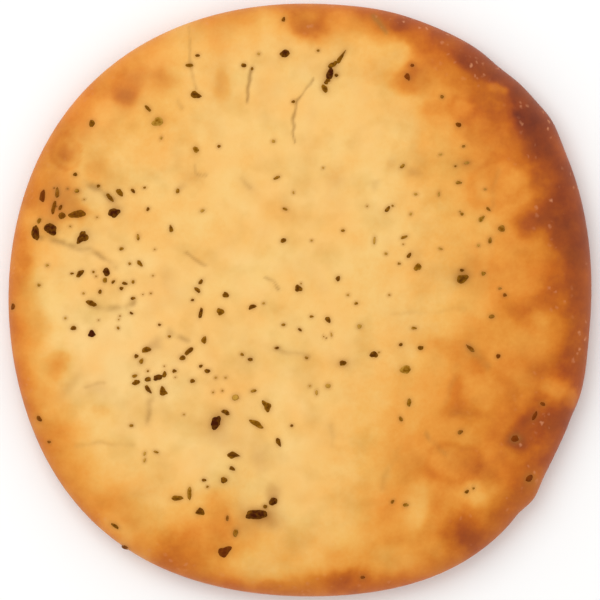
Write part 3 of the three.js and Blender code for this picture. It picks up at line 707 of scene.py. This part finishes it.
# A chip: rings of an outline drawn in to a point above and below. The outline's reach is that of a squared
# ellipse, with lobes, a taper and a wavering edge; the height is a dome with a fold along the middle.
def chipPoints(length, width, shape, seed, corners, rings):
    chance = np.random.default_rng(seed)
    angle = np.linspace(0, 2 * np.pi, corners, endpoint=False)
    power = shape["square"]
    reach = (np.abs(np.cos(angle)) ** power + np.abs(np.sin(angle)) ** power) ** (-1 / power)
    reach = reach * (1 + shape["lobeDepth"] * np.cos(shape["lobes"] * angle + chance.uniform(0, 6)))
    for wave in range(2, 8):
        reach = reach * (1 + chance.uniform(0.05, 0.2) / wave * np.cos(wave * angle + chance.uniform(0, 6)))
    levels = np.concatenate([np.linspace(0.25, 1, rings), [0.6, 0.25]])
    along = (levels[:, None] * reach * np.cos(angle)) * length / 2
    across = (levels[:, None] * reach * np.sin(angle)) * width / 2
    across = across * (1 - shape["taper"] * along / (length / 2))
    dome = np.sqrt(1 - np.linspace(0.25, 1, rings) ** 2)
    rise = np.concatenate([dome, [-0.35, -0.45]])[:, None] + 0 * angle
    fold = 0.25 * np.cos(3 * across / width * np.pi) * (rise > 0)
    wrinkle = chance.uniform(-0.12, 0.12, rise.shape) * (levels[:, None] < 0.99)
    body = np.stack([along, across, rise * (1 + fold) + wrinkle], axis=-1).reshape(-1, 3)
    return np.concatenate([body, [[0, 0, 1.05], [0, 0, -0.5]]])


# the tone of each of a chip's points: its own tone in the middle, golden towards the outline and below
def chipTone(tone, corners, rings):
    share = np.concatenate([np.linspace(0.25, 1, rings), [1, 1]])
    return np.append(np.repeat(tone + leaves["edgeTone"] * (share ** 2 - 0.3), corners), [tone, tone])


# the faces of such a chip: quads between rings, and a fan to the point at each end
def chipFaces(corners, ringCount, start=0):
    ring = start + np.arange(ringCount * corners).reshape(ringCount, corners)
    onward = np.roll(ring, -1, axis=1)
    topPoint = start + ringCount * corners
    topFan = np.stack([np.full(corners, topPoint), ring[0], onward[0]], axis=1).tolist()
    lowFan = np.stack([np.full(corners, topPoint + 1), onward[-1], ring[-1]], axis=1).tolist()
    return ringFaces(ring).tolist() + topFan + lowFan


# turned and moved to its place, and bent to lie along the crust
def layOnCrust(chip, x, y, turn, thickness, sink):
    placeX = x + chip[:, 0] * np.cos(turn) - chip[:, 1] * np.sin(turn)
    placeY = y + chip[:, 0] * np.sin(turn) + chip[:, 1] * np.cos(turn)
    return np.stack([placeX, placeY, crustTop(placeX, placeY) + chip[:, 2] * thickness - sink], axis=1)


# a leaf's middle, length, width and turn, from the widest and narrowest way across its plain solid
def measureLeaf(name):
    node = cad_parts[name]
    corners = np.empty(len(node.data.vertices) * 3)
    node.data.vertices.foreach_get("co", corners)
    corners = corners.reshape(-1, 3) / mm
    middle = (corners.min(axis=0) + corners.max(axis=0)) / 2
    spread = corners[:, :2] - corners[:, :2].mean(axis=0)
    directions = np.linalg.svd(spread, full_matrices=False)[2]
    # its length runs to the right, or up where the leaf stands nearly upright
    if directions[0, 0] + 0.2 * directions[0, 1] < 0:
        directions = -directions
    length, width = np.ptp(spread @ directions.T, axis=0) * leaves["spread"]
    return middle[0], middle[1], length, width, np.arctan2(directions[0, 1], directions[0, 0])


# how far the crust under a place has scorched what lies on it, from 0 to 0.85
def scorchAt(x, y):
    bearing, share = shareAt(x, y)
    return np.clip((toastLevel(x, y, bearing, share) - 0.28) * 3, 0, 0.85)


# a leaf: a chip as long and wide as its plain solid, laid at its middle
def buildLeaf(name, number):
    x, y, length, width, turn = leafPlaces[name]
    shape = leaves[leaves["shapes"].get(name, "flake")]
    chip = chipPoints(length, width, shape, 900 + number, leaves["corners"], leaves["topRings"])
    points = layOnCrust(chip, x, y, turn, leaves["thickness"], leaves["sink"])
    tone = leaves["tones"].get(name, leaves["plainTone"]) + 0.05 * np.sin(2.3 * number)
    faces = chipFaces(leaves["corners"], leaves["topRings"] + 2)
    values = {"tone": chipTone(tone, leaves["corners"], leaves["topRings"]),
              "scorch": np.full(len(points), scorchAt(*np.array([[x], [y]]))[0])}
    piece = makeMesh(name.replace("leaf_", "herb_"), points, faces, values, leafMaterial)
    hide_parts(name)
    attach(piece, "root")


crumbs = {
    "corners": 9,
    "rings": 2,
    "thickness": 0.4,
    "sink": 0.1,
    "spread": 1.15,
    # each crumb's place, length, width and turn, in groups by tone
    "dark": [
        (-63, 53.5, 2.2, 2, 80), (-68, 38, 1.4, 1.2, 0), (-61, 34.5, 1.2, 1, 0), (-50.5, 33, 1.9, 1, -55),
        (-46, 27.5, 1.3, 1, 60), (-24.5, 46.5, 1.1, 1, 0), (-14.5, 70, 1.1, 0.9, 90),
        (-17, 71, 1.7, 1.4, 0), (-69, 8, 1.2, 0.7, 0), (-56.5, 5.5, 1.4, 0.9, 40), (-53, 5, 1.9, 1, -10),
        (-54, 3.5, 1.3, 1.2, 0), (-60.5, 2.5, 1.5, 1.1, 80), (-50.5, 0.5, 1.6, 1, 10),
        (-51, -4, 1.3, 0.8, -25), (-68.5, -8.5, 1.9, 1.5, 0), (-42.5, -7.5, 1, 0.8, 0),
        (-49.5, -17, 1.4, 1.3, 0), (-35.5, -17.5, 1.9, 1.7, 0), (-38, -21.5, 1.5, 1.1, 10),
        (-46, -24, 2, 1.6, 0), (-41, -22.5, 2.2, 1.3, 70), (-32.5, -24.5, 1.7, 1.3, 0),
        (-30, -20, 1.3, 1, 30), (-28, -21.5, 1.9, 1.4, 0), (-20.5, -51, 2, 1.3, -35),
        (-23, -54.5, 2.3, 1.9, 20), (-29, -54.5, 1.5, 1, 0), (-2.5, -38, 1, 0.9, 0),
        (-30, 5.5, 1.9, 1.2, 55), (-31, 3, 2.3, 1.3, -50), (-32.5, 0, 1, 0.9, 0), (0, -9, 1.5, 0.8, -35),
        (8.5, -6, 2.3, 1.5, -60), (11.5, 6.5, 1.8, 1.4, 60), (-5, 18, 2, 1.4, 15),
        (33, 13.5, 2.1, 1.1, 55), (26.5, 27.5, 2.3, 1.2, 50), (48, 53, 1.8, 1.5, 0),
        (30.5, -13.5, 1.2, 1.1, 0), (36.5, -14.5, 1.8, 1.5, 0), (-15, -18, 1.6, 1.2, 0),
        (9.5, 71, 2.2, 1.6, 30), (11, 68, 1.3, 1.1, 0), (10.5, 71.5, 2.2, 1.3, 60), (8, 66, 1.9, 1.2, 60),
        (8.5, 66.5, 1.6, 1.4, 0), (-2, 60, 1.2, 1, 0), (-5, 85, 1.6, 1.1, 60), (-53, -75, 2.2, 1.2, -20),
        (69.5, -54, 2.5, 2, 50), (-10.5, -62.5, 1.4, 1.2, 0), (-72, 25.5, 2.5, 2, 20),
        (-72.5, 28, 2, 1, 60), (-56, -68.5, 2.8, 1.1, -32), (-87, -2, 2, 1.4, 80),
        (-79, -36, 2.1, 1.4, -50), (50.5, -58, 1.5, 1.1, 40), (-7, -14.5, 1.6, 0.8, 10),
        (-31, 74, 1.4, 1, 0), (49, 9, 1.5, 0.9, 0), (60, -17, 1.6, 1.3, 40),
    ],
    "brown": [
        (-73.5, 32.5, 3.5, 1.3, 88), (-67.5, 33, 1.5, 1.3, 0), (-47, 34, 1, 0.7, 20),
        (-37, 33, 1.7, 1.2, 80), (-54, 15.5, 1.5, 1.1, 0), (-49, 19, 2, 1, 90), (-62.5, 8.5, 0.9, 0.8, 0),
        (-59, 6, 1.9, 1.4, 80), (-50.5, 5.5, 1.3, 1, 80), (-51.5, 11, 1, 0.9, 0), (-79, 24, 2, 1.2, 60),
        (-79, 4.5, 1.2, 0.9, 0), (-55, -8.5, 1.1, 0.8, -50), (-39.5, -11, 1.1, 0.9, 0),
        (-48, -18.5, 1.8, 1.4, 60), (-50, -23, 1.8, 1.1, 20), (-14, -27.5, 1.9, 1.1, 10),
        (-43.5, -46, 1.7, 0.8, -20), (-28, -56.5, 0.9, 0.8, 0), (-22, -66, 1.9, 0.9, 85),
        (-19.5, -70.5, 2.6, 1.6, 80), (-17.5, -16.5, 1.3, 0.9, -30), (2, -17.5, 1.1, 0.9, 0),
        (-5, -7.5, 1.3, 0.9, 0), (3.5, -5, 1.4, 0.8, 0), (-7, 37, 2.2, 1, 25), (13, 21, 1.2, 1, 0),
        (31.5, 19, 2.3, 1, 20), (31, 40.5, 2, 1, 40), (48, 35.5, 1.9, 1.1, 0), (49, 26, 1.2, 1, 0),
        (57, 27.5, 1.7, 0.9, -45), (57.5, 18, 2, 1.2, 85), (55.5, 8, 1.5, 1.3, 0), (62, 1.5, 1.3, 1.1, 0),
        (34.5, -8.5, 1.8, 0.9, 0), (33, -31, 2.5, 1.5, 85), (30.5, -36, 1.9, 1.1, -60),
        (48.5, -40, 1.8, 1.3, 40), (32, -62, 1.8, 1.2, 0), (28, -61, 1.4, 1, 50), (19, -84, 1.4, 1, 0),
        (-51, -38, 1.4, 1, 0), (-76, -43, 1.2, 0.9, 0), (34, 71, 1.3, 1, 0), (5.5, 75.5, 1, 0.8, 0),
        (49.5, 46.5, 1.2, 0.8, 20), (17, -1, 1.2, 1, 0), (58, -5, 1.8, 1.4, 0), (28, 28.5, 0.8, 0.7, 0),
        (30, 11, 1, 0.8, 0), (-4.5, 27.5, 1.7, 0.9, -20), (43, 61.5, 1.2, 1.1, 0),
        (73.5, -31.5, 1.6, 1.2, -30), (52.5, -57, 0.8, 0.7, 0), (-46, -21.5, 0.8, 0.7, 0),
        (47, 40.5, 0.8, 0.6, 0),
    ],
    "pale": [
        (-76.5, 10.5, 1, 0.8, 0), (-65.5, 2, 0.8, 0.7, 0), (-19.5, -29.5, 2.3, 1.9, 20),
        (8.5, -26, 1.7, 1.5, 0), (5, -28, 1.5, 0.9, 85), (-47, -46.5, 1.3, 0.8, 70),
        (3.5, 18, 0.8, 0.6, 0), (14.5, 1.5, 0.8, 0.7, 0), (18, -8, 1.6, 1.3, 0), (33.5, 26, 1, 0.8, 50),
        (42.5, 15.5, 1.4, 0.7, -15), (54, 16.5, 0.9, 0.8, 0), (60.5, 3.5, 1.1, 0.7, 0),
        (27, 1.5, 0.7, 0.6, 0), (-47, -48.5, 1.4, 0.7, 70), (-25.5, -23.5, 0.8, 0.7, 0),
        (-22.5, -23.5, 0.7, 0.6, 0), (22.5, 18, 2.4, 0.8, 85), (9.5, -10.5, 1.4, 0.5, -80),
        (50.5, 41.5, 1.8, 0.8, 10), (42.5, 44, 1.2, 0.6, 20), (-42, 49, 1, 0.8, 60), (-8, 48, 1.2, 1, 0),
        (-11, -1, 0.9, 0.7, 0), (7, 40, 0.7, 0.6, 0), (-29.5, 27, 1.4, 1, 30), (35, 32, 1.2, 0.8, 0),
        (26, 14, 1, 0.9, 0), (-2, 32.5, 0.9, 0.6, 90), (42, 32, 1.6, 0.6, 85), (-12.5, 74.5, 0.9, 0.7, 0),
        (3, -26, 0.7, 0.6, 0), (56, 33.5, 0.9, 0.6, 0), (-71, -5.5, 0.8, 0.7, 0),
    ],
    "tones": {"dark": 0.4, "brown": 0.66, "pale": 0.98},
    # fine dust: middle, spread and count
    "dust": [((-50, 8), 16, 7), ((-35, -20), 14, 6), ((0, -12), 18, 4), ((38, 18), 18, 4),
             ((-70, 27), 8, 6)],
    "dustSizes": (0.5, 0.8),
    "dustTone": 0.85,
}


# every crumb as x, y, length, width, turn and tone, with the dust scattered at random about its middles
def crumbPlaces():
    chance = np.random.default_rng(4210)
    places = []
    for group, tone in crumbs["tones"].items():
        places += [(x, y, length * crumbs["spread"], width * crumbs["spread"], np.radians(turn), tone)
                   for x, y, length, width, turn in crumbs[group]]
    for middle, spread, count in crumbs["dust"]:
        spots = chance.normal(middle, spread / 1.6, (count, 2))
        sizes = chance.uniform(*crumbs["dustSizes"], count)
        places += [(*spot, size, 0.8 * size, 0.0, crumbs["dustTone"]) for spot, size in zip(spots, sizes)]
    return places


# the crumbs: one mesh of many small chips, each laid at its own place
def buildCrumbs(places):
    corners, rings = crumbs["corners"], crumbs["rings"]
    points, faces, tones, scorches = [], [], [], []
    count = 0
    scorch = scorchAt(*np.array([place[:2] for place in places], float).T)
    for number, (x, y, length, width, turn, tone) in enumerate(places):
        chip = chipPoints(length, width, leaves["flake"], 2000 + number, corners, rings)
        points.append(layOnCrust(chip, x, y, turn, crumbs["thickness"], crumbs["sink"]))
        faces += chipFaces(corners, rings + 2, count)
        tones.append(chipTone(tone, corners, rings))
        scorches.append(np.full(len(chip), scorch[number]))
        count += len(chip)
    values = {"tone": np.concatenate(tones), "scorch": np.concatenate(scorches)}
    piece = makeMesh("herb_crumbs", np.concatenate(points), faces, values, leafMaterial)
    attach(piece, "root")
    return len(places)


leafNames = sorted(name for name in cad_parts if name.startswith("leaf_"))
leafPlaces = {name: measureLeaf(name) for name in leafNames}
crumbList = crumbPlaces()
stainAndShadowPlaces = list(leafPlaces.values()) + [crumb[:5] for crumb in crumbList]

loafPiece = buildLoaf()
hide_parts("loaf")
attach(loafPiece, "root")
print("loaf built")

for leafNumber, leafName in enumerate(leafNames):
    buildLeaf(leafName, leafNumber)
print("leaves built", len(leafNames))

print("crumbs built", buildCrumbs(crumbList))


studio = {
    "floorSize": 3000.0,
    "floorDrop": 0.2,
    "worldLight": 0.84,
    "softboxSize": 0.9,
    "softboxPower": 4.6,
    "softboxPlace": (-0.35, 0.45, 1.0),
    "cameraHeight": 3.0,
    "frameWidth": 182.1,
}


# a paper floor, an even white room, a soft light from the upper left, and a camera straight above
def buildStudio():
    half = studio["floorSize"] / 2
    # a hair under the loaf, so that the two flat faces don't share a plane
    low = -studio["floorDrop"]
    corners = np.array([(-half, -half, low), (half, -half, low), (half, half, low), (-half, half, low)])
    paper = bpy.data.materials.new("whitePaper")
    paper.use_nodes = True
    paper.node_tree.nodes["Principled BSDF"].inputs["Base Color"].default_value = colour("#fafaf9")
    paper.node_tree.nodes["Principled BSDF"].inputs["Roughness"].default_value = 0.9
    floor = makeMesh("floor", corners, [(0, 1, 2, 3)], {}, paper)

    world = bpy.data.worlds.new("studio")
    world.use_nodes = True
    world.node_tree.nodes["Background"].inputs["Color"].default_value = (1, 1, 1, 1)
    world.node_tree.nodes["Background"].inputs["Strength"].default_value = studio["worldLight"]
    bpy.context.scene.world = world

    lamp = bpy.data.lights.new("softbox", "AREA")
    lamp.size = studio["softboxSize"]
    lamp.energy = studio["softboxPower"]
    softbox = bpy.data.objects.new("softbox", lamp)
    softbox.location = studio["softboxPlace"]
    aim = -np.array(studio["softboxPlace"])
    tilt = np.arctan2(np.hypot(aim[0], aim[1]), -aim[2])
    softbox.rotation_euler = (tilt, 0, np.arctan2(aim[0], -aim[1]) + np.pi)
    bpy.context.scene.collection.objects.link(softbox)

    eye = bpy.data.cameras.new("camera")
    eye.sensor_width = 36.0
    fromWaist = studio["cameraHeight"] - loaf["waistHeight"] * mm
    eye.lens = eye.sensor_width * fromWaist / (studio["frameWidth"] * mm)
    eye.clip_end = 20.0
    camera = bpy.data.objects.new("camera", eye)
    camera.location = (0, 0, studio["cameraHeight"])
    bpy.context.scene.collection.objects.link(camera)
    bpy.context.scene.camera = camera
    bpy.context.scene.view_settings.view_transform = "Standard"


buildStudio()
